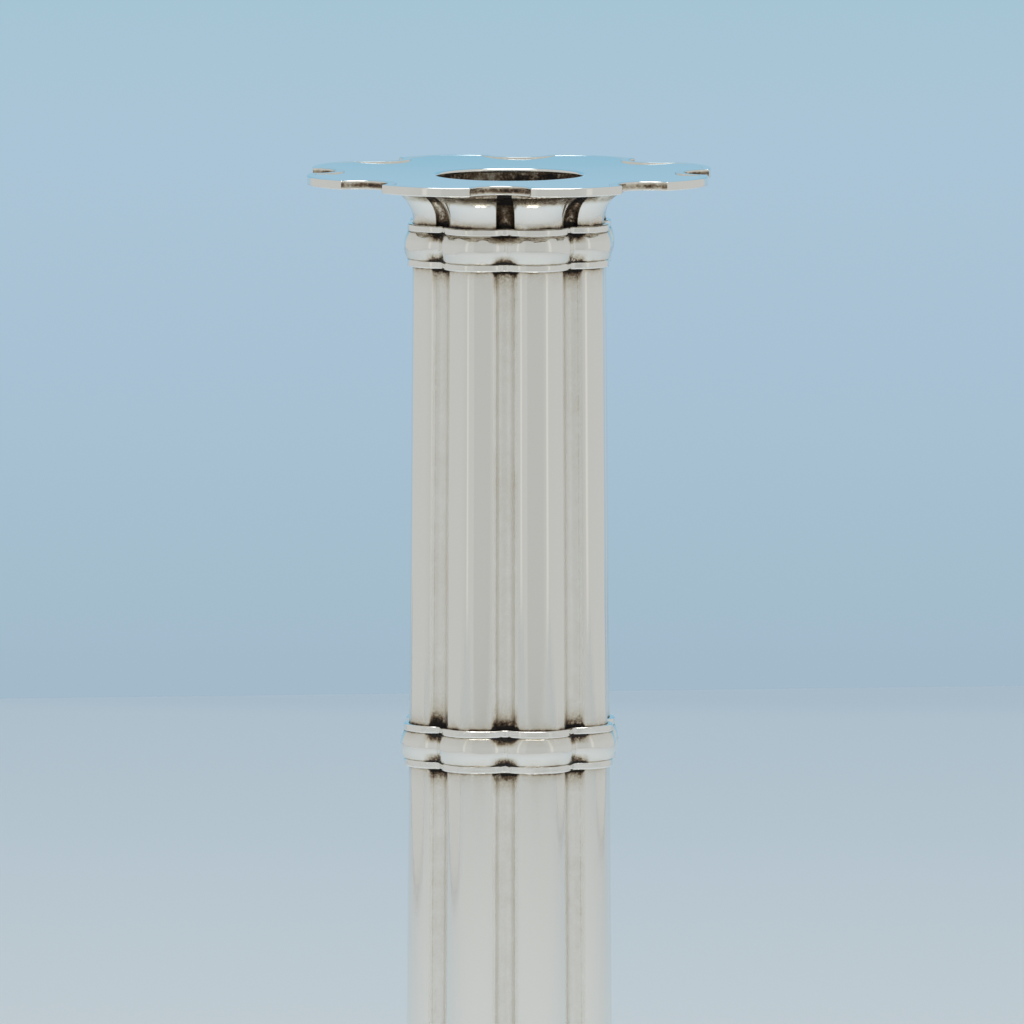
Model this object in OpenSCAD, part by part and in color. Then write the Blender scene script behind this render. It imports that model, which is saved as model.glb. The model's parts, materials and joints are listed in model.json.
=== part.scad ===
// Clustered-column candlestick in sheet silver. Every piece follows one eight-lobed plan:
// eight equal round lobes on a ring, with a round flute cut between every two of them.
// Origin: centre of the circle that the foot stands on. +Z up. A flute faces -Y.

/* [Column] */
// Distance between the centres of two neighbouring collars
collar_pitch = 80.2; // [50:0.1:110]
// Radius of each lobe of the column just under the capital
lobe_top = 5.16; // [5.1:0.01:5.2]
// Radius of each lobe of the column at the foot
lobe_foot = 5.61; // [5.2:0.01:6]
// Thickness of the column's sheet silver
wall = 0.6; // [0.4:0.05:0.6]

/* [Collars] */
// Height of one whole collar
collar_h = 6.85; // [5.5:0.05:9]
// Height of each fillet wire above and below a collar's band
wire_h = 1.2; // [0.8:0.1:1.6]
// How far the fillet wires stand out from the column
wire_out = 0.85; // [0.5:0.05:1]
// How far the band stands out from the column at its fullest
band_out = 1.35; // [1.05:0.05:1.6]

/* [Capital and drip pan] */
// Height of the capital
capital_h = 6.75; // [6.5:0.05:9]
// Radius of the capital's hollow curve
capital_curve = 5; // [4.6:0.1:5.5]
// Distance from the axis to the tips of the drip pan's lobes
pan_reach = 33.5; // [30:0.1:36]
// Thickness of the drip pan's plate under its rim
pan_t = 1.2; // [1:0.1:1.4]
// How much the drip pan's plate dips towards its middle
pan_dip = 0.5; // [0.2:0.05:0.6]
// Height of the wire round the drip pan
rim_h = 1.45; // [1.4:0.05:2]
// Width of the wire round the drip pan
rim_w = 1.4; // [1:0.1:1.5]

/* [Candle cup] */
// Bore of the candle cup
cup_d = 23.5; // [21:0.1:23.5]
// Thickness of the cup's wall
cup_wall = 0.4; // [0.3:0.05:0.4]
// Depth of the cup below the drip pan's plate
cup_depth = 22; // [15:0.5:30]

/* [Foot] */
// Height of the lowest collar's underside
foot_h = 15.3; // [15:0.05:22]
// Distance from the axis to the tips of the foot's lobes
foot_reach = 52; // [46:0.5:56]
// Height of the band round the foot
band_h = 4; // [3:0.1:4.5]
// Thickness of the foot's sheet silver
foot_t = 0.9; // [0.6:0.1:1.2]

/* [Hidden] */
$fn = 64;
LOBES = 8;
// The column's plan in lobe radii: ring of lobes, ring of flutes, flute
RING = 2.118;
FLUTE_RING = 2.955;
FLUTE = 0.314;
// Discs that join the lobes, in lobe radii: in the column, under a collar, in a flare
FILL = 2.735;
FLOOR = 2.7;
CUSP = 2.534;
// The plan of the pan and the foot in lobe radii: ring of lobes, ring of flutes, flute
WIDE_RING = 1.446;
WIDE_FLUTE_RING = 2.39;
WIDE_FLUTE = 0.36;
// Overrun of a cutting shape past the face it cuts
CUT = 1;
// Solder gap between a collar and the column it surrounds
GAP = 0.01;
// How far the disc that joins the lobes stays inside the flutes or cusps
BITE = 0.5;
// Softened edge of a collar's wires
SOFT = 0.2;
// Share of a flare's hollow curve that is a quarter round, short of its flat end
QUARTER = 0.95;

half_step = 180 / LOBES;
base_collar_z = foot_h;
middle_collar_z = base_collar_z + collar_pitch;
top_collar_z = middle_collar_z + collar_pitch;
joint_z = middle_collar_z + collar_h / 2;
capital_z = top_collar_z + collar_h;
pan_z = capital_z + capital_h;
pan_top = pan_z + pan_t;

// Straight neck where a flare leaves the column
neck_h = 0.5;

// The foot, from the floor up: band, sloping plate, raised step, flare up to the collar
plate_rise = 2.6;
plate_high = band_h + plate_rise;
step_h = 2.6;
step_top = plate_high + step_h;
// The step's outline over the foot's outline
step_share = 0.5;
foot_lobe = foot_reach / (WIDE_RING + 1);
step_lobe = foot_lobe * step_share;
pan_lobe = pan_reach / (WIDE_RING + 1);
foot_flare_h = foot_h - step_top;
foot_curve = 0.8 * foot_flare_h;
base_wire_h = 1.4;
base_wire_out = 0.9;

// Lobe radius of the column at height z
function lobe_at(z) = lobe_foot + (lobe_top - lobe_foot) * (z - foot_h) / (capital_z - foot_h);

// Repeats its children at every lobe of a ring of radius c
module at_lobes(c) {
    for (i = [0 : LOBES - 1])
        rotate([0, 0, half_step + i * 360 / LOBES])
            translate([c, 0, 0])
                children();
}

// Repeats its children at every flute of a ring of radius c
module at_flutes(c) {
    rotate([0, 0, half_step]) at_lobes(c) children();
}

// The column's flat outline where its lobes have radius r, made smaller by t
module column_outline(r, t) {
    difference() {
        union() {
            at_lobes(RING * r) circle(r - t);
            circle(FILL * r - t);
        }
        at_flutes(FLUTE_RING * r) circle(FLUTE * r + t);
    }
}

// The flat outline of the pan and the foot for lobes of radius r, made smaller by t
module wide_outline(r, t) {
    difference() {
        union() {
            at_lobes(WIDE_RING * r) circle(r - t);
            circle((WIDE_FLUTE_RING - WIDE_FLUTE) * r - t - BITE);
        }
        at_flutes(WIDE_FLUTE_RING * r) circle(WIDE_FLUTE * r + t);
    }
}

// A straight prism of the column's outline
module column_prism(r, t, h) {
    linear_extrude(h) column_outline(r, t);
}

// A straight prism of the outline of the pan and the foot
module wide_prism(r, t, h) {
    linear_extrude(h) wide_outline(r, t);
}

// A tapering post on a leaning axis, from ring c0 and radius r0 up to ring c1 and radius r1
module post(c0, c1, r0, r1, h) {
    rotate([0, -atan2(c0 - c1, h), 0])
        translate([0, 0, -CUT])
            cylinder(h = h + 2 * CUT, r1 = r0, r2 = r1);
}

// One tapering length of the column from z0 to z1, made smaller by t
module column(z0, z1, t) {
    r0 = lobe_at(z0);
    r1 = lobe_at(z1);
    h = z1 - z0;
    intersection() {
        difference() {
            union() {
                at_lobes(RING * r0) post(RING * r0, RING * r1, r0 - t, r1 - t, h);
                translate([0, 0, -CUT])
                    cylinder(h = h + 2 * CUT, r1 = FILL * r0 - t, r2 = FILL * r1 - t);
            }
            at_flutes(FLUTE_RING * r0)
                post(FLUTE_RING * r0, FLUTE_RING * r1, FLUTE * r0 + t, FLUTE * r1 + t, h);
        }
        cylinder(h = h, r = (RING + 1) * r0 + CUT);
    }
}

// A hollow length of the column
module shaft(z0, z1) {
    translate([0, 0, z0])
        difference() {
            column(z0, z1, 0);
            translate([0, 0, -CUT]) column(z0 - CUT, z1 + CUT, wall);
        }
}

// Bends its children, the half section of a moulding of height h measured from the
// column's face, round the column where the column's lobes have radius r
module moulding(r, h) {
    difference() {
        union() {
            at_lobes(RING * r) rotate_extrude() section(r, h) children();
            rotate_extrude() section(FLOOR * r, h) children();
        }
        translate([0, 0, -CUT]) column_prism(r, -GAP, h + 2 * CUT);
    }
}

// A solid half section of radius r and height h with its children standing on its face
module section(r, h) {
    square([r, h]);
    translate([r, 0]) children();
}

// A soft-edged wire of the collar that starts at collar_z, raised by lift
module collar_wire(collar_z, lift) {
    translate([0, 0, collar_z + lift])
        moulding(lobe_at(collar_z), wire_h)
            polygon([
                [0, 0], [wire_out - SOFT, 0], [wire_out, SOFT],
                [wire_out, wire_h - SOFT], [wire_out - SOFT, wire_h], [0, wire_h]
            ]);
}

// The swelling band of the collar that starts at collar_z, between its two wires
module collar_band(collar_z) {
    h = collar_h - 2 * wire_h;
    edge = wire_out - 0.1;
    swell = band_out - edge;
    curve = (h * h / 4 + swell * swell) / (2 * swell);
    translate([0, 0, collar_z + wire_h])
        moulding(lobe_at(collar_z), h)
            intersection() {
                translate([band_out - curve, h / 2]) circle(curve);
                square([band_out + CUT, h]);
            }
}

// Solid half section of a flare: straight neck, hollow curve, then upright lip to height h
module flare_section(r, h, curve, rise) {
    out = curve - sqrt(curve * curve - rise * rise);
    difference() {
        square([r + out, h]);
        intersection() {
            union() {
                translate([r + curve, neck_h]) circle(curve);
                translate([r, -CUT]) square([curve, neck_h + CUT]);
            }
            translate([0, -CUT]) square([r + curve, neck_h + rise + CUT]);
        }
    }
}

// A flared eight-lobed shell; it widens upward from the column's lobes of radius r
module flare(r, h, curve) {
    rise = QUARTER * curve;
    out = curve - sqrt(curve * curve - rise * rise);
    inner_rise = sqrt(rise * rise + 2 * wall * out);
    floor_r = CUSP * r;
    difference() {
        union() {
            at_lobes(RING * r) rotate_extrude() flare_section(r, h, curve, rise);
            cylinder(h = h, r = floor_r - BITE);
        }
        at_lobes(RING * r)
            rotate_extrude() flare_section(r - wall, h + CUT, curve + wall, inner_rise);
        translate([0, 0, -CUT]) cylinder(h = h + 2 * CUT, r = floor_r - wall);
        translate([0, 0, -CUT])
            linear_extrude(h + 2 * CUT) at_lobes(RING * r) circle(r - wall);
    }
}

// The plate inside the drip pan's rim, dished on top and pierced for the cup
module drip_pan() {
    level_r = pan_reach - rim_w / 2;
    slope = pan_dip / (level_r - cup_d / 2);
    color("silver")
        translate([0, 0, pan_z])
            difference() {
                wide_prism(pan_lobe, rim_w, pan_t);
                translate([0, 0, -CUT]) cylinder(h = pan_t + 2 * CUT, d = cup_d);
                translate([0, 0, pan_t - pan_dip - slope * CUT])
                    cylinder(h = pan_dip + 2 * slope * CUT, r1 = cup_d / 2 - CUT, r2 = level_r + CUT);
            }
}

module drip_pan_rim() {
    color("gainsboro")
        translate([0, 0, pan_top - rim_h])
            difference() {
                wide_prism(pan_lobe, 0, rim_h);
                translate([0, 0, -CUT]) wide_prism(pan_lobe, rim_w, rim_h + 2 * CUT);
            }
}

module candle_cup() {
    color("darkgray")
        translate([0, 0, pan_z - cup_depth])
            difference() {
                cylinder(h = cup_depth, d = cup_d + 2 * cup_wall);
                translate([0, 0, -CUT]) cylinder(h = cup_depth + 2 * CUT, d = cup_d);
            }
}

module cup_floor() {
    color("dimgray")
        translate([0, 0, pan_z - cup_depth - cup_wall])
            cylinder(h = cup_wall, d = cup_d + 2 * cup_wall);
}

module capital() {
    color("silver")
        translate([0, 0, capital_z])
            flare(lobe_top, capital_h, capital_curve);
}

module top_collar_upper_wire() {
    color("gainsboro") collar_wire(top_collar_z, collar_h - wire_h);
}

module top_collar_band() {
    color("silver") collar_band(top_collar_z);
}

module top_collar_lower_wire() {
    color("gainsboro") collar_wire(top_collar_z, 0);
}

module upper_shaft() {
    color("silver") shaft(joint_z, capital_z);
}

module middle_collar_upper_wire() {
    color("gainsboro") collar_wire(middle_collar_z, collar_h - wire_h);
}

module middle_collar_band() {
    color("silver") collar_band(middle_collar_z);
}

module middle_collar_lower_wire() {
    color("gainsboro") collar_wire(middle_collar_z, 0);
}

module lower_shaft() {
    color("silver") shaft(base_collar_z, joint_z);
}

module base_collar_upper_wire() {
    color("gainsboro") collar_wire(base_collar_z, collar_h - wire_h);
}

module base_collar_band() {
    color("silver") collar_band(base_collar_z);
}

module base_collar_lower_wire() {
    color("gainsboro") collar_wire(base_collar_z, 0);
}

module foot_flare() {
    color("silver")
        translate([0, 0, foot_h])
            mirror([0, 0, 1])
                flare(lobe_foot, foot_flare_h, foot_curve);
}

// The raised step, an eight-lobed cap with an open underside
module foot_step() {
    color("gainsboro")
        translate([0, 0, plate_high])
            difference() {
                wide_prism(step_lobe, 0, step_h);
                translate([0, 0, -CUT]) wide_prism(step_lobe, foot_t, step_h - foot_t + CUT);
                translate([0, 0, -CUT]) column_prism(lobe_foot, wall, step_h + 2 * CUT);
            }
}

// The tapered eight-lobed solid between the foot's band and its step
module plate_solid() {
    linear_extrude(plate_rise, scale = step_share) wide_outline(foot_lobe, 0);
}

// The sloping plate, open underneath and cut away inside the step
module foot_plate() {
    color("silver")
        translate([0, 0, band_h])
            difference() {
                plate_solid();
                translate([0, 0, -foot_t]) plate_solid();
                translate([0, 0, -CUT]) wide_prism(step_lobe, foot_t, plate_rise + 2 * CUT);
            }
}

module foot_rim_band() {
    color("gainsboro")
        difference() {
            wide_prism(foot_lobe, 0, band_h);
            translate([0, 0, -CUT]) wide_prism(foot_lobe, foot_t, band_h + 2 * CUT);
        }
}

module foot_base_wire() {
    color("silver")
        difference() {
            wide_prism(foot_lobe, -base_wire_out, base_wire_h);
            translate([0, 0, -CUT]) wide_prism(foot_lobe, 0, base_wire_h + 2 * CUT);
        }
}

drip_pan();
drip_pan_rim();
candle_cup();
cup_floor();
capital();
top_collar_upper_wire();
top_collar_band();
top_collar_lower_wire();
upper_shaft();
middle_collar_upper_wire();
middle_collar_band();
middle_collar_lower_wire();
lower_shaft();
base_collar_upper_wire();
base_collar_band();
base_collar_lower_wire();
foot_flare();
foot_step();
foot_plate();
foot_rim_band();
foot_base_wire();
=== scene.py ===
"""A clustered-column silver candlestick on a pale table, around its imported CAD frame.

Every lobed piece follows one plan: eight round lobes on a ring with a round flute between every
two. plan_ring() makes one ring of vertices round that plan, and a piece is a closed loop of rings.
"""
import json
import math

import bmesh
import bpy
import numpy as np
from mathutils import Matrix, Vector, noise


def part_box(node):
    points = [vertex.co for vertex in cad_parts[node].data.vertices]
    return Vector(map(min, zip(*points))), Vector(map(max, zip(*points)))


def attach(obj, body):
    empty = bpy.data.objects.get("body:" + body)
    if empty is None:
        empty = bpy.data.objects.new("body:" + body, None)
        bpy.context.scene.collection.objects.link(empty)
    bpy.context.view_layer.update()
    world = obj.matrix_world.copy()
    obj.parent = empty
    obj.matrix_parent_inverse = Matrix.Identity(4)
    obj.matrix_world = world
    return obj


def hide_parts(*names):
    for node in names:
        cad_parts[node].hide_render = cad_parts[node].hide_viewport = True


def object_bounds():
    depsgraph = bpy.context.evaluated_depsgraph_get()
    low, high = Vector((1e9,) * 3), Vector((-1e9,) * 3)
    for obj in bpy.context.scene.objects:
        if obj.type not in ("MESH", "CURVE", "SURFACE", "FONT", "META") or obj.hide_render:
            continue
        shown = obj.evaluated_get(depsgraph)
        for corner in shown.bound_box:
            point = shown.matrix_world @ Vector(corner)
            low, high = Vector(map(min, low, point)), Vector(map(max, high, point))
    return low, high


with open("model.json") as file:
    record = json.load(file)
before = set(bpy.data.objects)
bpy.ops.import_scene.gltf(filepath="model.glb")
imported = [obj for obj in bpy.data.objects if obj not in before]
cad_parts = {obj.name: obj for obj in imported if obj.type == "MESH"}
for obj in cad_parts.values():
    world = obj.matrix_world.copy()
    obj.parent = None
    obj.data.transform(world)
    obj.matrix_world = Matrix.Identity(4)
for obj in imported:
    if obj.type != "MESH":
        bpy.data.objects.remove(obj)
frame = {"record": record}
cad_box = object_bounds()

MM = 0.001

# ---------------------------------------------------------------- the eight-lobed plan

LOBES = 8
HALF_STEP = math.pi / LOBES
# plans in lobe radii: radius of the ring of lobes, of the ring of flutes, and of a flute
COLUMN = (2.118, 2.955, 0.314)
WIDE = (1.446, 2.39, 0.36)
FLARE_FLUTE = 0.274         # radius of a flare's flutes, in the column's lobe radii
ARC_STEPS = 24              # mesh steps round one lobe
VALLEY_STEPS = 12           # mesh steps round one flute
EDGE = 0.11 * MM            # the two steps at a corner between a lobe and a flute


def top_of(node):
    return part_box(node)[1][2]


def bottom_of(node):
    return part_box(node)[0][2]


def lobe_from_box(node, ratio):
    """Lobe radius of a node's outline, from the node's half width and its ring/lobe ratio."""
    low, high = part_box(node)
    half = (high[0] - low[0]) / 2
    return half / (ratio * math.cos(HALF_STEP) + 1)


def steps_between(end, count, edge):
    """Angles from -end up to end, the last one left out, with a short step at either end."""
    inner = np.linspace(-end + edge, end - edge, count - 1)
    return np.concatenate([[-end], inner])


def plan_ring(lobe_ring, lobe, flute, z, flute_ring=None):
    """One ring of vertices round the eight-lobed plan.

    Without flute_ring, the flutes run smoothly into the lobes; with it, they meet in corners.
    """
    across, along = lobe_ring * math.sin(HALF_STEP), lobe_ring * math.cos(HALF_STEP)
    if flute_ring is None:
        flute_ring = along + math.sqrt((lobe + flute) ** 2 - across ** 2)
    apart = math.hypot(across, flute_ring - along)
    towards = math.atan2(flute_ring * math.sin(HALF_STEP),
                         flute_ring * math.cos(HALF_STEP) - lobe_ring)
    lobe_cut = math.acos(min(1, (apart ** 2 + lobe ** 2 - flute ** 2) / (2 * apart * lobe)))
    flute_cut = math.acos(min(1, (apart ** 2 + flute ** 2 - lobe ** 2) / (2 * apart * flute)))
    lobe_sweep = towards - lobe_cut
    flute_sweep = towards - HALF_STEP + flute_cut
    points = []
    for k in range(LOBES):
        a = HALF_STEP + 2 * HALF_STEP * k
        for t in steps_between(lobe_sweep, ARC_STEPS, EDGE / lobe):
            points.append((lobe_ring * math.cos(a) + lobe * math.cos(a + t),
                           lobe_ring * math.sin(a) + lobe * math.sin(a + t)))
        b = a + HALF_STEP
        for t in steps_between(flute_sweep, VALLEY_STEPS, min(EDGE / flute, flute_sweep / 4)):
            u = b + math.pi - t
            points.append((flute_ring * math.cos(b) + flute * math.cos(u),
                           flute_ring * math.sin(b) + flute * math.sin(u)))
    ring = np.zeros((len(points), 3))
    ring[:, :2] = points
    ring[:, 2] = z
    return ring


def wide_ring(lobe, out, z):
    """The plan of the pan and the foot for lobes of radius lobe, moved outwards by out."""
    lobe_ring, flute_ring, flute = (lobe * share for share in WIDE)
    return plan_ring(lobe_ring, lobe + out, flute - out, z, flute_ring)


def round_ring(r, z, like):
    """A circle whose vertices lie in the same directions as those of the ring like."""
    circle = like.copy()
    circle[:, :2] *= (r / np.hypot(like[:, 0], like[:, 1]))[:, None]
    circle[:, 2] = z
    return circle


def blend_rings(a, b, steps):
    """Rings between ring a and ring b, both ends left out."""
    return [a + (b - a) * k / steps for k in range(1, steps)]


# ---------------------------------------------------------------- profiles

MOST_CUT = 0.45             # most of a side that a rounded corner may take
MOST_GUARD = 0.15 * MM      # most that a guard point lies beyond its arc


def soften(corners, arc_steps=4):
    """Rounds the corners of a closed outline given as (out, up, radius), all in metres.

    A guard point just beyond each end of an arc keeps the shading of the side beside it flat.
    """
    done = []
    for i, (x, y, r) in enumerate(corners):
        here = Vector((x, y))
        before = Vector(corners[i - 1][:2]) - here
        after = Vector(corners[(i + 1) % len(corners)][:2]) - here
        if r <= 0:
            done.append((x, y))
            continue
        open_angle = before.angle(after)
        cut = min(r / math.tan(open_angle / 2), before.length * MOST_CUT, after.length * MOST_CUT)
        r = cut * math.tan(open_angle / 2)
        start = here + before.normalized() * cut
        end = here + after.normalized() * cut
        centre = here + (before.normalized() + after.normalized()).normalized() * (
            r / math.sin(open_angle / 2))
        guard = min(cut * 0.35, MOST_GUARD)
        done.append(tuple(start + before.normalized() * guard))
        for k in range(arc_steps + 1):
            p = start.lerp(end, k / arc_steps) - centre
            done.append(tuple(centre + p.normalized() * r))
        done.append(tuple(end + after.normalized() * guard))
    return done


def arc(cx, cy, r, start, end, steps):
    """Points of a circular arc; angles in degrees."""
    return [(cx + r * math.cos(math.radians(a)), cy + r * math.sin(math.radians(a)))
            for a in np.linspace(start, end, steps + 1)]


def spread(a, b, steps):
    """Points on the straight line from a to b, both ends kept."""
    return [tuple(np.array(a) + (np.array(b) - np.array(a)) * k / steps)
            for k in range(steps + 1)]


# ---------------------------------------------------------------- meshes

SHARP = math.radians(75)    # edges that turn by more than this are shaded sharp


def wobble(points, size, scale, seed):
    """Moves vertices by a smooth noise, mostly sideways: the unevenness of hand work."""
    moved = points.copy()
    shift = Vector((seed * 7.31, seed * 3.17, seed * 1.73))
    for i, p in enumerate(points):
        q = Vector((p[0] / scale[0], p[1] / scale[0], p[2] / scale[1])) + shift
        radial = Vector((p[0], p[1], 0))
        if radial.length > 0:
            radial.normalize()
        push = size * noise.noise(q)
        moved[i, 0] += radial.x * push
        moved[i, 1] += radial.y * push
        moved[i, 2] += size * 0.4 * noise.noise(q + Vector((11.3, 5.9, 2.1)))
    return moved


def ring_weights():
    """For one ring's vertices: nearness to a flute (1 inside it) and to one of its corners."""
    near_flute, near_corner = [], []
    for _ in range(LOBES):
        for k in range(ARC_STEPS):
            near_flute.append(abs(k - ARC_STEPS / 2) / (ARC_STEPS / 2))
            near_corner.append(1.0 if k == 0 else 0.0)
        for k in range(VALLEY_STEPS):
            near_flute.append(1.0)
            near_corner.append(1.0 if k == 0 else 0.0)
    return np.array(near_flute), np.array(near_corner)


NEAR_FLUTE, NEAR_CORNER = ring_weights()


def loft(name, rings, soil_and_shade=None, uneven=None, fluted=1.0):
    """A closed solid whose skin runs through the rings in order and back to the first one.

    soil is a function of (ring number, z) to how much dirt gathers there, with painted shade added
    in where a piece has it, as on the capital under the drip pan.
    uneven is (size, (sideways scale, upright scale), seed) for wobble().
    fluted is 0 for a piece whose silver has no dirt in flutes.
    """
    count = len(rings[0])
    points = np.concatenate(rings)
    if uneven:
        points = wobble(points, *uneven)
    # the unevenness lifts no end face out of the CAD model's box
    points[:, 2] = np.clip(points[:, 2], cad_box[0][2], cad_box[1][2])
    faces = []
    for j in range(len(rings)):
        here, there = j * count, ((j + 1) % len(rings)) * count
        for i in range(count):
            k = (i + 1) % count
            faces.append((here + i, here + k, there + k, there + i))
    mesh = bpy.data.meshes.new(name)
    mesh.from_pydata([tuple(p) for p in points], [], faces)
    mesh.update()
    soil_and_shade_values = np.zeros(len(points))
    if soil_and_shade:
        for j, ring in enumerate(rings):
            soil_and_shade_values[j * count:(j + 1) * count] = soil_and_shade(j, ring[0][2])
    for key, values in (("soil_and_shade", soil_and_shade_values),
                        ("valley", np.tile(NEAR_FLUTE * fluted, len(rings))),
                        ("corner", np.tile(NEAR_CORNER * fluted, len(rings)))):
        mesh.attributes.new(key, "FLOAT", "POINT").data.foreach_set("value", values)
    obj = bpy.data.objects.new(name, mesh)
    bpy.context.scene.collection.objects.link(obj)
    finish_mesh(mesh)
    return obj


def finish_mesh(mesh):
    """Makes the skin face outwards, smooth but for its sharp edges."""
    bm = bmesh.new()
    bm.from_mesh(mesh)
    bmesh.ops.recalc_face_normals(bm, faces=bm.faces)
    for face in bm.faces:
        face.smooth = True
    for edge in bm.edges:
        edge.smooth = not (len(edge.link_faces) == 2 and edge.calc_face_angle(0) > SHARP)
    bm.to_mesh(mesh)
    bm.free()


# ---------------------------------------------------------------- materials

SILVER = (0.925, 0.915, 0.885)
STAIN = (0.66, 0.60, 0.49)
BROWN = (0.20, 0.135, 0.085)
BLACK = (0.016, 0.013, 0.012)
BUMP_DEPTH = 0.06 * MM


class Nodes:
    """Short calls for building a node tree. A value is a number, a colour or another output."""

    def __init__(self, tree):
        self.tree = tree
        tree.nodes.clear()

    def plug(self, value, socket):
        """Links value to socket if it is an output, and else sets it there."""
        if hasattr(value, "is_output"):
            self.tree.links.new(value, socket)
        else:
            socket.default_value = value

    def add(self, kind, **sockets):
        node = self.tree.nodes.new(kind)
        for key, value in sockets.items():
            self.plug(value, node.inputs[key])
        return node

    def math(self, operation, a, b=0.0):
        node = self.tree.nodes.new("ShaderNodeMath")
        node.operation = operation
        self.plug(a, node.inputs[0])
        self.plug(b, node.inputs[1])
        return node.outputs[0]

    def ramp(self, factor, stops):
        """stops is a list of (position, colour)."""
        node = self.tree.nodes.new("ShaderNodeValToRGB")
        elements = node.color_ramp.elements
        while len(elements) > 1:
            elements.remove(elements[-1])
        for i, (at, colour) in enumerate(stops):
            element = elements[0] if i == 0 else elements.new(at)
            element.position = at
            element.color = (*colour, 1)
        self.tree.links.new(factor, node.inputs["Fac"])
        return node.outputs["Color"]

    def remap(self, value, low, high, to_low=0.0, to_high=1.0, smooth=False):
        """Maps low..high of value to to_low..to_high, and holds it there outside."""
        node = self.add("ShaderNodeMapRange", Value=value)
        node.interpolation_type = "SMOOTHSTEP" if smooth else "LINEAR"
        ends = {"From Min": low, "From Max": high, "To Min": to_low, "To Max": to_high}
        for key, number in ends.items():
            node.inputs[key].default_value = number
        return node.outputs["Result"]

    def mix(self, factor, a, b):
        """Colour a where factor is 0, colour b where it is 1."""
        node = self.tree.nodes.new("ShaderNodeMix")
        node.data_type = "RGBA"
        for key, value in (("Factor", factor), ("A", a), ("B", b)):
            self.plug(value, node.inputs[key])
        return node.outputs["Result"]

    def attribute(self, name):
        node = self.tree.nodes.new("ShaderNodeAttribute")
        node.attribute_name = name
        return node.outputs["Fac"]

    def noise(self, where, scale, detail=3.0, rough=0.55, stretch=None):
        """Cloudy noise with about scale features to the metre, drawn out where stretch is small."""
        if stretch:
            mapping = self.add("ShaderNodeMapping", Vector=where)
            mapping.inputs["Scale"].default_value = stretch
            where = mapping.outputs[0]
        node = self.add("ShaderNodeTexNoise", Vector=where)
        node.inputs["Scale"].default_value = scale
        node.inputs["Detail"].default_value = detail
        node.inputs["Roughness"].default_value = rough
        return node.outputs["Fac"]


def surface_material(name, build):
    """A material whose shader is what build(nodes) gives."""
    material = bpy.data.materials.new(name)
    material.use_nodes = True
    n = Nodes(material.node_tree)
    n.add("ShaderNodeOutputMaterial", Surface=build(n))
    return material


def silver(name, rough=0.05, start=0.78, full=1.0, flute_gain=0.0, soil_and_shade_gain=0.0, both_gain=0.0,
           corner_gain=0.0, stain=0.0, matt=0.0, streaks=0.0, dents=0.0):
    """Polished silver with dirt in its flutes and joints, and painted shade that a piece may add to
    its joints' amount, as on the capital under the drip pan.

    start and full are where, from crest 0 to flute 1, dirt begins and is at its thickest.
    flute_gain is the dirt along the flutes, soil_and_shade_gain that along the joints together with
    any painted shade, both_gain what more there is where the two cross, and corner_gain that in the
    line along a flute's edge.
    stain is an even tarnish, matt how much duller the flutes are than the rest.
    streaks is the strength of long upright tool lines, dents that of hammer marks.
    """
    def build(n):
        where = n.add("ShaderNodeTexCoord").outputs["Object"]

        # dirt, and on the capital painted shade under the drip pan: an amount from the place on the
        # piece, broken up by patches, blotches and specks
        blotch = n.noise(where, 420, 4.0, 0.6)
        speck = n.noise(where, 2600, 5.0, 0.7)
        patch = n.remap(n.noise(where, 75, 1.0), 0.35, 0.65, 0.6, 1.3)
        broken = n.math("ADD", n.math("MULTIPLY", blotch, 0.65), n.math("MULTIPLY", speck, 0.55))
        deep = n.remap(n.attribute("valley"), start, full, smooth=True)
        grime_and_shade = n.attribute("soil_and_shade")
        both = n.math("MULTIPLY", n.math("MULTIPLY", deep, grime_and_shade), both_gain)
        line = n.math("MULTIPLY", n.attribute("corner"), corner_gain)
        total = n.math("ADD", n.math("MULTIPLY", deep, flute_gain),
                       n.math("MULTIPLY", grime_and_shade, soil_and_shade_gain))
        total = n.math("ADD", n.math("ADD", total, both), n.math("ADD", line, stain))
        dirt = n.math("MULTIPLY", n.math("MULTIPLY", total, patch),
                      n.remap(broken, 0.38, 0.80, 0.1, 1.9))
        dirt = n.math("MINIMUM", dirt, 1.0)
        colour = n.ramp(dirt, [(0.0, SILVER), (0.30, STAIN), (0.62, BROWN), (0.95, BLACK)])
        metal = n.remap(dirt, 0.45, 1.0, 1.0, 0.55)

        # polish: uneven wear with a fine upright haze, duller in the flutes and under dirt and
        # painted shade
        wear = n.noise(where, 160, 3.0, 0.6)
        haze = n.noise(where, 5200, 2.0, 0.5, stretch=(1.0, 1.0, 0.05))
        uneven = n.math("MULTIPLY", n.math("MULTIPLY", wear, haze), rough)
        roughness = n.math("ADD", n.math("ADD", rough, uneven), n.math("MULTIPLY", dirt, 0.38))
        roughness = n.math("ADD", roughness, n.math("MULTIPLY", deep, matt))

        # bumps: specks, tool lines and hammer marks, a little lower where there is dirt and painted
        # shade
        height = n.math("MULTIPLY", speck, 0.06)
        if streaks:
            lines = n.noise(where, 900, 2.0, 0.5, stretch=(1.0, 1.0, 0.012))
            height = n.math("ADD", height, n.math("MULTIPLY", lines, streaks))
        if dents:
            marks = n.noise(where, 330, 1.5, 0.45)
            height = n.math("ADD", height, n.math("MULTIPLY", marks, dents))
        height = n.math("SUBTRACT", height, n.math("MULTIPLY", dirt, 0.25))
        bump = n.add("ShaderNodeBump", Height=height, Strength=0.35, Distance=BUMP_DEPTH)

        shader = n.add("ShaderNodeBsdfPrincipled", Metallic=metal, Roughness=roughness,
                       Normal=bump.outputs[0], **{"Base Color": colour})
        return shader.outputs[0]

    return surface_material(name, build)


# ---------------------------------------------------------------- sizes, most from the frame

COLLARS = ("top_collar", "middle_collar", "base_collar")

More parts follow.
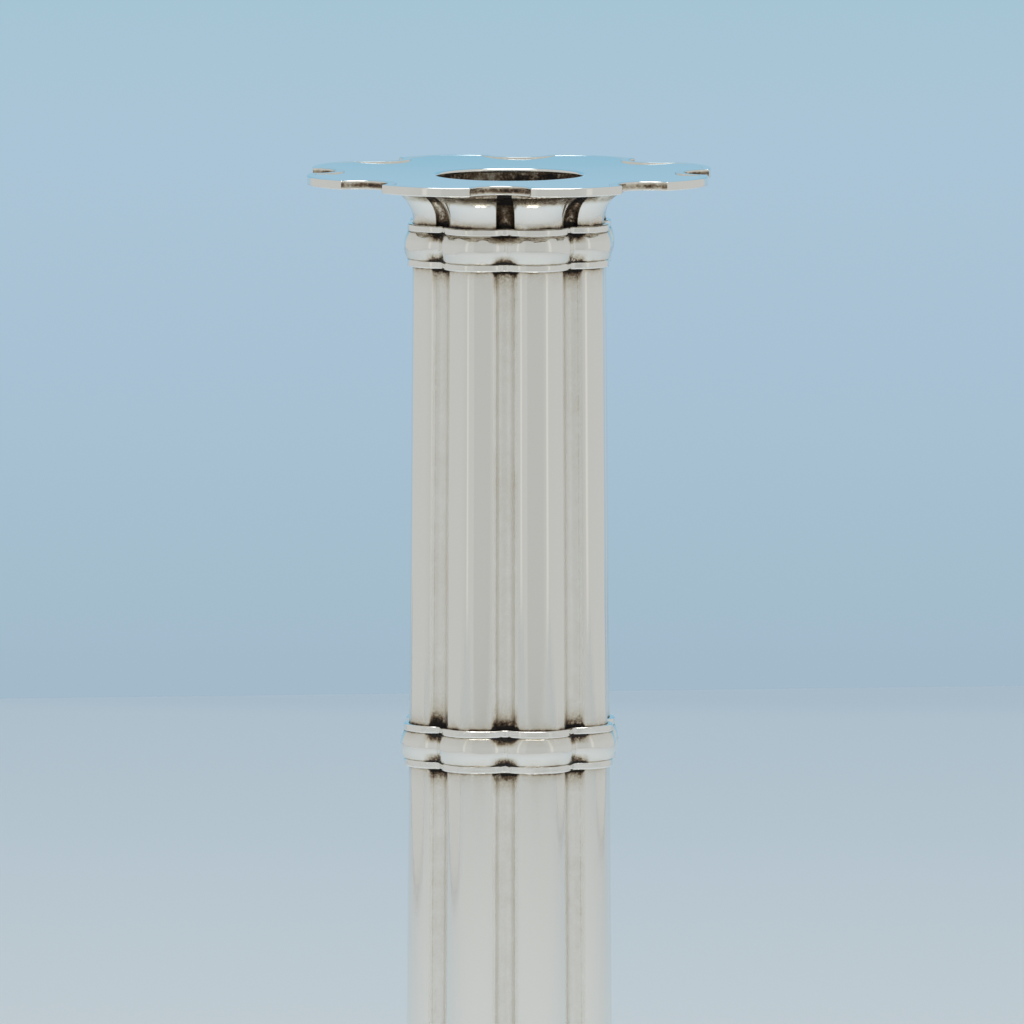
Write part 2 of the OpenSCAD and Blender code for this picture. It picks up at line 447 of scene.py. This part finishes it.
SHEET = 0.6 * MM            # thickness of the column's and the flares' sheet
FOOT_SHEET = 0.9 * MM
COLLAR_GAP = 0.02 * MM      # how far a collar's inner face stands off the column
COLLAR_FILLET = 1.9 * MM    # radius of the smooth flutes of a collar's inner face
WIRE_OUT = 0.85 * MM        # how far a collar's wires stand out from the column
BAND_OUT = 1.35 * MM        # how far its band stands out at its fullest
BAND_EDGE = 0.76 * MM       # how far its band stands out where it meets the wires

JOINT_Z = bottom_of("upper_shaft")
COLUMN_TOP = top_of("upper_shaft")
COLUMN_FOOT = bottom_of("lower_shaft")
LOBE_FOOT = lobe_from_box("lower_shaft", COLUMN[0])
LOBE_JOINT = lobe_from_box("upper_shaft", COLUMN[0])
LOBE_SLOPE = (LOBE_JOINT - LOBE_FOOT) / (JOINT_Z - COLUMN_FOOT)

PAN_TOP = top_of("drip_pan_rim")
PAN_UNDER = bottom_of("drip_pan")
PAN_LOBE = lobe_from_box("drip_pan_rim", WIDE[0])
PAN_RIM = 1.4 * MM          # width of the wire round the pan
PAN_DIP = 0.5 * MM          # how much the pan's plate dips towards its hole
CUP_R = frame["record"]["mounts"][0]["dims"]["r_mm"] * MM
CUP_OUTER_R = (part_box("candle_cup")[1][0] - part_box("candle_cup")[0][0]) / 2

STEP_TOP = top_of("foot_step")
FOOT_LOBE = lobe_from_box("foot_rim_band", WIDE[0])


def column_lobe(z):
    """Lobe radius of the tapering column at height z."""
    return LOBE_FOOT + LOBE_SLOPE * (z - COLUMN_FOOT)


def column_ring(z, out=0.0, at=None):
    """The column's plan at height z, or as it is at height at, moved outwards by out."""
    lobe = column_lobe(z if at is None else at)
    lobe_ring, flute_ring, flute = (lobe * share for share in COLUMN)
    return plan_ring(lobe_ring, lobe + out, flute - out, z, flute_ring)


def flare_ring(lobe, out, z):
    """The plan of a flare whose lobes have opened by out from the column's.

    Its flutes keep their width, and reach in to where the lobes meet.
    """
    lobe_ring = lobe * COLUMN[0]
    meet = lobe_ring * math.cos(HALF_STEP) + math.sqrt(
        (lobe + out) ** 2 - (lobe_ring * math.sin(HALF_STEP)) ** 2)
    flute = lobe * FLARE_FLUTE
    return plan_ring(lobe_ring, lobe + out, flute, z, meet + flute)


def collar_ring(lobe, out, z):
    """The plan of a strip bent round the column: its flutes are shallow and smooth."""
    return plan_ring(lobe * COLUMN[0], lobe + out, COLLAR_FILLET - out, z)


def near(places, reach):
    """A soil function: 1 at each height in places, fading over reach."""
    def soil_and_shade(_, z):
        return max(math.exp(-abs(z - p) / reach) for p in places)
    return soil_and_shade


# ---------------------------------------------------------------- the pieces

def drip_pan():
    """The dished plate with its round, softly edged hole."""
    edge = 0.36 * MM
    gap = 0.01 * MM
    below_rim = 0.02 * MM
    outline = wide_ring(PAN_LOBE, -PAN_RIM - gap, PAN_TOP)
    reach = np.hypot(outline[:, 0], outline[:, 1]).max()

    def dished(ring):
        r = np.hypot(ring[:, 0], ring[:, 1])
        share = (r ** 2 - CUP_R ** 2) / (reach ** 2 - CUP_R ** 2)
        ring[:, 2] = PAN_TOP - below_rim - (PAN_DIP - below_rim) * (1 - share)
        return ring

    hole_top = PAN_TOP - PAN_DIP
    outer = dished(outline.copy())
    lip = [dished(round_ring(CUP_R + edge * 2, 0, outline))]
    for a in np.linspace(0.2, math.pi / 2, 5):
        r, z = CUP_R + edge - edge * math.sin(a), hole_top - edge + edge * math.cos(a)
        lip.append(round_ring(r, z, outline))
    lip += [round_ring(CUP_R, z, outline) for z in (hole_top - 0.5 * MM, PAN_UNDER)]
    under_lip = round_ring(CUP_R + 0.2 * MM, PAN_UNDER, outline)
    under = outline.copy()
    under[:, 2] = PAN_UNDER
    rings = [outer] + [dished(ring) for ring in blend_rings(outer, lip[0], 14)] + lip
    rings += [under_lip] + blend_rings(under_lip, under, 6) + [under]
    return loft("drip_pan_silver", rings, fluted=0.0, soil_and_shade=near([PAN_UNDER], 0.12 * MM))


def drip_pan_rim():
    """The wire round the pan, with its dirt along the middle of its outer face."""
    low = bottom_of("drip_pan_rim")
    edge = 0.2 * MM
    profile = soften([(-PAN_RIM, low, 0.1 * MM), (0, low, edge), (0, PAN_TOP, edge),
                      (-PAN_RIM, PAN_TOP, 0.05 * MM)], 5)
    # rows up the outer face, which lies halfway round the profile, for the dirt to follow
    halfway = len(profile) // 2
    profile[halfway:halfway] = spread((0, low + 1.5 * edge), (0, PAN_TOP - 1.5 * edge), 7)
    rings = [wide_ring(PAN_LOBE, out, z) for out, z in profile]
    middle = (low + PAN_TOP) / 2

    def soil_and_shade(_, z):
        return max(0.0, 1 - ((z - middle) / (0.5 * MM)) ** 2)
    return loft("drip_pan_rim_silver", rings, soil_and_shade=soil_and_shade, uneven=(0.05 * MM, (9 * MM, 9 * MM), 3))


def candle_cup():
    """The tube that the candle stands in."""
    low, high = bottom_of("candle_cup"), top_of("candle_cup")
    steps = 24
    like = wide_ring(PAN_LOBE, 0, 0)
    rings = [round_ring(CUP_OUTER_R, z, like) for z in np.linspace(low, high, steps)]
    rings += [round_ring(CUP_R, z, like) for z in np.linspace(high, low, steps)]
    return loft("candle_cup_silver", rings, fluted=0.0, soil_and_shade=lambda j, z: 0.75,
                uneven=(0.04 * MM, (6 * MM, 6 * MM), 5))


def cup_floor():
    """The disc that closes the cup below."""
    low, high = bottom_of("cup_floor"), top_of("cup_floor")
    steps = 10
    centre_r = 0.3 * MM
    like = wide_ring(PAN_LOBE, 0, 0)
    rings = [round_ring(r, high, like) for r in np.linspace(centre_r, CUP_OUTER_R, steps)]
    rings += [round_ring(r, low, like) for r in np.linspace(CUP_OUTER_R, centre_r, steps)]
    return loft("cup_floor_silver", rings, fluted=0.0, soil_and_shade=lambda j, z: 0.7)


def flare(name, neck_z, end_z, curve, seed):
    """A flared shell that leaves the column at neck_z and opens out towards end_z."""
    way = 1 if end_z > neck_z else -1
    lobe = column_lobe(neck_z)
    neck = 0.5 * MM
    guard = 0.2 * MM
    rise = 0.95 * curve
    out = curve - math.sqrt(curve ** 2 - rise ** 2)
    height = abs(end_z - neck_z)
    turn = math.degrees(math.asin(rise / curve))
    outer = [(0.0, 0.0), (0.0, guard)] + arc(curve, neck, curve, 180, 180 - turn, 16)
    outer += [(out, neck + rise + guard)]
    outer += spread((out, neck + rise + 0.5 * MM), (out, height), 3)
    rings = [flare_ring(lobe, x, neck_z + way * y) for x, y in outer]
    rings += [plan_ring(lobe * COLUMN[0], lobe + x - SHEET, 0.05 * MM, neck_z + way * y)
              for x, y in reversed(outer)]
    lip = neck_z + way * (neck + 0.66 * rise)

    def soil_and_shade(_, z):
        at_neck = 2.2 * math.exp(-abs(z - neck_z) / (0.35 * MM))
        # darker from the lip to the flare's end: tarnish at the joint, and on the capital painted
        # shade under the drip pan
        lip_dirt_and_shade = min(1.0, max(0.0, way * (z - lip) / (0.5 * MM)))
        return max(at_neck, lip_dirt_and_shade)
    return loft(name, rings, soil_and_shade=soil_and_shade, uneven=(0.06 * MM, (4 * MM, 4 * MM), seed))


def collar_wire(name, low, high, foot, seed):
    """A flat-faced wire with soft edges, bent round the column as it is at height foot."""
    lobe = column_lobe(foot)
    edge = 0.26 * MM
    profile = soften([(COLLAR_GAP, low, 0), (WIRE_OUT, low, edge), (WIRE_OUT, high, edge),
                      (COLLAR_GAP, high, 0)], 5)
    rings = [collar_ring(lobe, out, z) for out, z in profile]
    return loft(name, rings, uneven=(0.07 * MM, (4 * MM, 3 * MM), seed))


def collar_band(name, low, high, foot, seed):
    """The swelling band between two wires, tucked in where it meets them."""
    lobe = column_lobe(foot)
    half = (high - low) / 2
    swell = BAND_OUT - BAND_EDGE
    curve = (half ** 2 + swell ** 2) / (2 * swell)
    angle = math.degrees(math.asin(half / curve))
    skin = arc(BAND_OUT - curve, low + half, curve, -angle, angle, 24)
    profile = [(COLLAR_GAP, low)] + skin + [(COLLAR_GAP, high)]
    rings = [collar_ring(lobe, out, z) for out, z in profile]

    def soil_and_shade(_, z):
        deep = min(z - low, high - z)
        return max(0.0, 1 - deep / (1.5 * MM)) + 2.5 * math.exp(-max(0.0, deep) / (0.1 * MM))
    return loft(name, rings, soil_and_shade=soil_and_shade, uneven=(0.09 * MM, (4 * MM, 4 * MM), seed))


def shaft(name, low, high, seed):
    """One hollow length of the column, with closer rows and more dirt beside the collars."""
    collars = [bottom_of(collar + "_lower_wire") for collar in COLLARS]
    collars += [top_of(collar + "_upper_wire") for collar in COLLARS]
    levels = set(np.linspace(low, high, int((high - low) / MM) + 1).round(5))
    for z in collars:
        for apart in (0.0, 0.1, 0.22, 0.4, 0.65):
            levels |= {round(level, 5) for level in (z + apart * MM, z - apart * MM)
                       if low < level < high}
    rings = [column_ring(z) for z in sorted(levels)]
    rings += [column_ring(z, -SHEET) for z in (high, (low + high) / 2, low)]
    wide, fine = near(collars, 1.1 * MM), near(collars, 0.2 * MM)
    return loft(name, rings, soil_and_shade=lambda j, z: wide(j, z) + 4 * fine(j, z),
                uneven=(0.035 * MM, (7 * MM, 45 * MM), seed))


def foot_plate():
    """The foot's sloping sheet, a shallow hollow curve from the step down to the band."""
    low, high = top_of("foot_rim_band"), top_of("foot_plate")
    lobe = lobe_from_box("foot_plate", WIDE[0])
    step_share = lobe_from_box("foot_step", WIDE[0]) / lobe
    steps = 20
    hollow = 1.25
    upper, under = [], []
    for k in range(steps + 1):
        t = k / steps
        size = lobe * (1 + (step_share - 1) * t)
        z = low + (high - low) * t ** hollow
        upper.append(wide_ring(size, 0, z))
        under.append(wide_ring(size, 0, z - FOOT_SHEET))
    return loft("foot_plate_silver", upper + under[::-1], soil_and_shade=near([low, high], 0.25 * MM),
                uneven=(0.07 * MM, (12 * MM, 12 * MM), 23))


def foot_step():
    """The raised eight-lobed step that the column stands on."""
    low = bottom_of("foot_step")
    lobe = lobe_from_box("foot_step", WIDE[0])
    wall = soften([(-FOOT_SHEET, low, 0), (0, low, 0.1 * MM), (0, STEP_TOP, 0.55 * MM),
                   (-1.5 * MM, STEP_TOP, 0)], 6)
    rings = [wide_ring(lobe, out, z) for out, z in wall]
    mouth_top = column_ring(STEP_TOP, -SHEET, at=COLUMN_FOOT)
    mouth_low = column_ring(STEP_TOP - FOOT_SHEET, -SHEET, at=COLUMN_FOOT)
    under = wide_ring(lobe, -FOOT_SHEET, STEP_TOP - FOOT_SHEET)
    rings += blend_rings(rings[-1], mouth_top, 6) + [mouth_top, mouth_low]
    rings += blend_rings(mouth_low, under, 4) + [under]
    return loft("foot_step_silver", rings, soil_and_shade=near([low], 0.3 * MM),
                uneven=(0.05 * MM, (6 * MM, 6 * MM), 29))


def foot_rim_band():
    """The upright band round the foot."""
    low, high = bottom_of("foot_rim_band"), top_of("foot_rim_band")
    profile = soften([(-FOOT_SHEET, low, 0), (0, low, 0), (0, high, 0.4 * MM),
                      (-FOOT_SHEET, high, 0.1 * MM)], 5)
    rings = [wide_ring(FOOT_LOBE, out, z) for out, z in profile]
    return loft("foot_rim_band_silver", rings, soil_and_shade=near([top_of("foot_base_wire")], 0.25 * MM),
                uneven=(0.06 * MM, (9 * MM, 5 * MM), 31))


def foot_base_wire():
    """The wire round the band's lower edge, which the object stands on."""
    low, high = bottom_of("foot_base_wire"), top_of("foot_base_wire")
    stand_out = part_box("foot_base_wire")[1][0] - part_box("foot_rim_band")[1][0]
    profile = soften([(0.0, low, 0), (stand_out, low, 0.25 * MM), (stand_out, high, 0.6 * MM),
                      (0.0, high, 0)], 6)
    rings = [wide_ring(FOOT_LOBE, out, z) for out, z in profile]
    return loft("foot_base_wire_silver", rings, soil_and_shade=near([high], 0.2 * MM),
                uneven=(0.05 * MM, (9 * MM, 5 * MM), 37))


pan_silver = silver("pan_silver", rough=0.035, soil_and_shade_gain=0.5)
rim_silver = silver("rim_silver", start=0.93, flute_gain=0.05, both_gain=0.55, dents=0.5)
moulded = silver("moulded_silver", rough=0.06, start=0.62, full=0.9, soil_and_shade_gain=0.1,
                 both_gain=1.1, dents=1.4)
flared = silver("flared_silver", rough=0.07, start=0.9, flute_gain=0.6, soil_and_shade_gain=0.42,
                both_gain=0.5, dents=1.2)
column = silver("column_silver", rough=0.045, start=0.76, full=0.9, flute_gain=0.05,
                soil_and_shade_gain=0.16, both_gain=0.85, corner_gain=0.12, matt=0.22, streaks=0.5)
cup = silver("cup_silver", rough=0.25, soil_and_shade_gain=1.0, stain=0.1, dents=0.5)
foot = silver("foot_silver", start=0.9, flute_gain=0.1, soil_and_shade_gain=0.28, both_gain=0.3, dents=0.8)


def place(piece, material, node):
    """Gives a finished piece its material and its place in the frame."""
    piece.data.materials.append(material)
    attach(piece, "root")
    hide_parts(node)


place(drip_pan(), pan_silver, "drip_pan")
place(drip_pan_rim(), rim_silver, "drip_pan_rim")
place(candle_cup(), cup, "candle_cup")
place(cup_floor(), cup, "cup_floor")
place(flare("capital_silver", COLUMN_TOP, PAN_UNDER, 5 * MM, 7),
      flared, "capital")
place(flare("foot_flare_silver", COLUMN_FOOT, STEP_TOP, 0.8 * (COLUMN_FOOT - STEP_TOP), 11),
      flared, "foot_flare")
for number, collar in enumerate(COLLARS):
    collar_foot = bottom_of(collar + "_lower_wire")
    for part, make in (("upper_wire", collar_wire), ("band", collar_band),
                       ("lower_wire", collar_wire)):
        node = f"{collar}_{part}"
        seed = 41 + 3 * number + len(part)
        place(make(node + "_silver", bottom_of(node), top_of(node), collar_foot, seed),
              moulded, node)
place(shaft("upper_shaft_silver", JOINT_Z, COLUMN_TOP, 13), column, "upper_shaft")
place(shaft("lower_shaft_silver", COLUMN_FOOT, JOINT_Z, 17), column, "lower_shaft")
place(foot_plate(), foot, "foot_plate")
place(foot_step(), foot, "foot_step")
place(foot_rim_band(), foot, "foot_rim_band")
place(foot_base_wire(), foot, "foot_base_wire")


# ---------------------------------------------------------------- studio

VIEW_TURN = math.radians(2.6)    # the camera stands this far round from -Y towards +X
CAMERA_OUT = 2.4                 # level distance from the column's axis
CAMERA_ABOVE = 0.204             # above the drip pan
AIM_ACROSS = 0.0004              # to the right of the column's axis
AIM_BELOW = 0.05475              # below the drip pan's top
TABLE_TURN = math.radians(6)     # the table's own turn past the camera's

# the table's colours from its front to its back: its pale tone with painted light, lighter and
# warmer at the front, darker and bluer towards the back
TABLE_TONE_AND_LIGHT = [
    (0.2, (0.757, 0.739, 0.722)), (0.72, (0.670, 0.702, 0.722)), (0.87, (0.649, 0.712, 0.775)),
    (0.985, (0.635, 0.722, 0.795)), (1.0, (0.60, 0.69, 0.785))]
# the blue paper's colours from low to high
PAPER_COLOURS = [
    (0.0, (0.360, 0.480, 0.585)), (0.058, (0.366, 0.491, 0.597)), (0.068, (0.371, 0.509, 0.611)),
    (0.107, (0.392, 0.533, 0.658)), (0.134, (0.405, 0.556, 0.680)), (0.157, (0.392, 0.558, 0.672)),
    (0.167, (0.376, 0.552, 0.658)), (0.42, (0.352, 0.552, 0.690)), (0.58, (0.338, 0.545, 0.690)),
    (0.80, (0.262, 0.510, 0.662)), (1.0, (0.26, 0.50, 0.67))]
# the rest of the room
WHITE = (0.565, 0.575, 0.560)
BRIGHT = (0.680, 0.680, 0.650)
GREY = (0.520, 0.530, 0.515)
DIM = (0.545, 0.555, 0.540)


def turned(x, y, z=0.0):
    """A place given across, away and up from the camera's own direction."""
    c, s = math.cos(VIEW_TURN), math.sin(VIEW_TURN)
    return Vector((x * c - y * s, x * s + y * c, z))


def point_at(obj, where, aim):
    """Puts a camera or a light in the scene at where, looking at aim."""
    obj.location = where
    obj.rotation_mode = "QUATERNION"
    obj.rotation_quaternion = (aim - where).to_track_quat("-Z", "Y")
    bpy.context.scene.collection.objects.link(obj)


def camera():
    data = bpy.data.cameras.new("camera")
    data.lens = 530
    data.sensor_width = 36
    data.clip_end = 100
    obj = bpy.data.objects.new("camera", data)
    point_at(obj, turned(0, -CAMERA_OUT, PAN_TOP + CAMERA_ABOVE),
             turned(AIM_ACROSS, 0, PAN_TOP - AIM_BELOW))
    bpy.context.scene.camera = obj


def stage_piece(name, points, faces):
    """A mesh of the studio, which isn't part of the object."""
    mesh = bpy.data.meshes.new(name)
    mesh.from_pydata(points, [], faces)
    obj = bpy.data.objects.new(name, mesh)
    bpy.context.scene.collection.objects.link(obj)
    return obj


def table_top():
    """The pale table: a wide board that stands a little askew to the camera."""
    half_width, front, back, corner = 0.95, -0.86, 0.885, 0.2
    c, s = math.cos(TABLE_TURN), math.sin(TABLE_TURN)
    points = []
    for cx, cy, start in ((half_width, back, 0), (-half_width, back, 90),
                          (-half_width, front, 180), (half_width, front, 270)):
        x = cx - math.copysign(corner, cx)
        y = cy - math.copysign(corner, cy)
        for px, py in arc(x, y, corner, start, start + 90, 10):
            points.append(tuple(turned(px * c - py * s, px * s + py * c)))

    def build(n):
        where = n.add("ShaderNodeTexCoord").outputs["Object"]
        away = n.add("ShaderNodeSeparateXYZ", Vector=where).outputs["Y"]
        cloud = n.math("MULTIPLY", n.noise(where, 4, 2.0), 0.03)
        depth = n.math("ADD", n.remap(away, -0.9, 0.9), cloud)
        # a painted pool of light: the table's colour turns whiter round the foot
        reach = n.add("ShaderNodeVectorMath", Vector=where)
        reach.operation = "LENGTH"
        painted_light_pool = n.remap(reach.outputs["Value"], 0.08, 0.34, 0.16, 0.0, smooth=True)
        colour = n.mix(painted_light_pool, n.ramp(depth, TABLE_TONE_AND_LIGHT), (1.0, 1.0, 1.0, 1))
        shader = n.add("ShaderNodeBsdfPrincipled", Roughness=0.7, **{"Base Color": colour})
        return shader.outputs[0]

    obj = stage_piece("table_top", points, [tuple(range(len(points)))])
    obj.data.materials.append(surface_material("table_paint", build))


def card(name, near_end, far_end, height, glow):
    """A glowing white card that stands on the table, unseen by the camera, with a dark strip along
    its bottom painted as the contact shadow where it meets the table.
    """
    contact_shadow_height = 0.7 * MM
    ends = turned(*near_end), turned(*far_end)
    points = [(p.x, p.y, z) for z in (0.0, contact_shadow_height, height) for p in ends]
    obj = stage_piece(name, points, [(0, 1, 3, 2), (2, 3, 5, 4)])
    # the dark strip along the card's bottom is painted contact shadow, not a real foot
    obj.data.materials.append(surface_material(name + "_contact_shadow", lambda n: n.add(
        "ShaderNodeBsdfDiffuse", Color=(0.05, 0.05, 0.05, 1)).outputs[0]))
    obj.data.materials.append(surface_material(name + "_face", lambda n: n.add(
        "ShaderNodeEmission", Color=(0.985, 1.0, 0.985, 1), Strength=glow).outputs[0]))
    obj.data.polygons[1].material_index = 1
    obj.visible_camera = False


def soft_light(name, where, aim, size, watts):
    data = bpy.data.lights.new(name, "AREA")
    data.shape = "RECTANGLE"
    data.size, data.size_y = size
    data.energy = watts
    obj = bpy.data.objects.new(name, data)
    point_at(obj, turned(*where), turned(*aim))
    obj.visible_camera = False


def studio_walls():
    """The room round the table, as a world: blue paper behind, white and grey elsewhere."""
    world = bpy.data.worlds.new("studio")
    bpy.context.scene.world = world
    world.use_nodes = True
    n = Nodes(world.node_tree)
    ray = n.add("ShaderNodeTexCoord").outputs["Generated"]
    turn = n.add("ShaderNodeVectorRotate", Vector=ray)
    turn.rotation_type = "Z_AXIS"
    turn.inputs["Angle"].default_value = -VIEW_TURN
    across, away, up = n.add("ShaderNodeSeparateXYZ", Vector=turn.outputs[0]).outputs
    # how far round: 0.5 towards the camera, 0.75 to its right, 0 and 1 straight behind the object
    round_way = n.math("ARCTAN2", across, n.math("MULTIPLY", away, -1.0))
    round_way = n.math("ADD", n.math("DIVIDE", round_way, 2 * math.pi), 0.5)

    def at(degrees):
        """The place on that scale of a direction so many degrees to the camera's right."""
        return degrees / 360 + 0.5

    def rise(degrees):
        """The upward part of a direction so many degrees above the level."""
        return math.sin(math.radians(degrees))

    walls = n.ramp(round_way, [
        (0.0, WHITE), (at(-70), WHITE), (at(-47), DIM), (at(-45), BRIGHT), (at(-41), BRIGHT),
        (at(-39), WHITE), (at(-22), WHITE), (at(-20), GREY), (at(36), GREY), (at(40), DIM),
        (at(46), DIM), (at(48), BRIGHT), (at(54), BRIGHT), (at(56), WHITE), (1.0, WHITE)])
    paper = n.ramp(n.remap(up, -0.14, 0.26), PAPER_COLOURS)
    aside = n.math("ABSOLUTE", n.math("SUBTRACT", round_way, 0.5))
    behind = n.remap(aside, at(138) - 0.5, at(150) - 0.5, smooth=True)
    room = n.mix(behind, walls, paper)
    # a dark strip low in front: the gap beyond the table's near edge
    strip = n.math("MULTIPLY", n.remap(up, rise(-7.6), rise(-6.9), smooth=True),
                   n.remap(up, rise(-6.2), rise(-6.6), smooth=True))
    window = n.math("MULTIPLY", n.remap(round_way, at(-22), at(-20)),
                    n.remap(round_way, at(40), at(30)))
    dark = n.math("MULTIPLY", n.math("MULTIPLY", strip, window), 0.28)
    light = n.add("ShaderNodeBackground", Color=room, Strength=n.math("SUBTRACT", 1.0, dark))
    n.add("ShaderNodeOutputWorld", Surface=light.outputs[0])


camera()
table_top()
card("left_card", near_end=(-0.658, -0.279), far_end=(-0.573, 0.517), height=1.1, glow=0.575)
card("right_card", near_end=(0.788, -0.140), far_end=(0.529, 0.631), height=1.1, glow=0.575)
soft_light("overhead", where=(0.0, -0.12, 1.25), aim=(0, 0, 0), size=(0.75, 0.75), watts=6.5)
studio_walls()

bpy.context.scene.view_settings.view_transform = "Standard"
